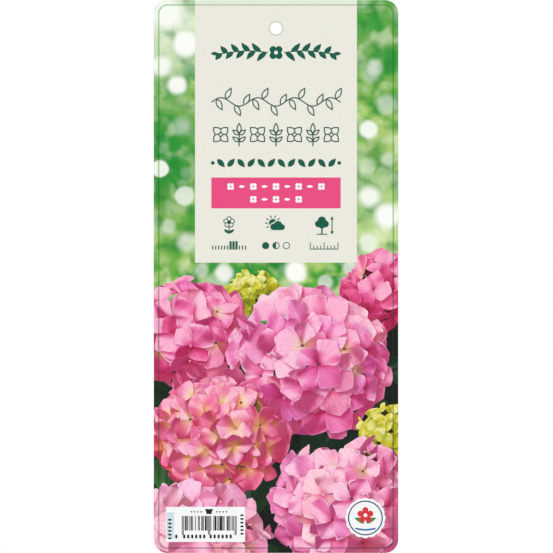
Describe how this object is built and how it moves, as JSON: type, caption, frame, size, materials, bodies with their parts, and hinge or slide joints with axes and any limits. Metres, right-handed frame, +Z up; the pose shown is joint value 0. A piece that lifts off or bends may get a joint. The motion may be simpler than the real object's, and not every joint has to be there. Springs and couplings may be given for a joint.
{
  "type": "hanging plant label",
  "caption": "Flat printed plastic tag with rounded corners and a punched hanging hole, picturing a pink hydrangea shrub, hung on a potted plant.",
  "frame": {"origin": "centre of the hanging hole, halfway through the sheet", "axes": "+Z up towards the top edge, -Y out of the printed face, +X to the right as the printed face is looked at"},
  "size_m": [0.099, 0.0006, 0.224],
  "materials": {
    "sheet": "white satin polypropylene sheet, die-cut",
    "picture_print": "offset print in four colours under a satin varnish: pink flower heads over soft green",
    "cream_ink": "pale cream panel, offset print",
    "pink_ink": "strong pink banner, offset print",
    "green_ink": "dark green line work, offset print",
    "white_ink": "opaque white, offset print",
    "black_ink": "black bars, offset print"
  },
  "bodies": {
    "root": {"label_sheet": "sheet"}
  },
  "joints": []
}
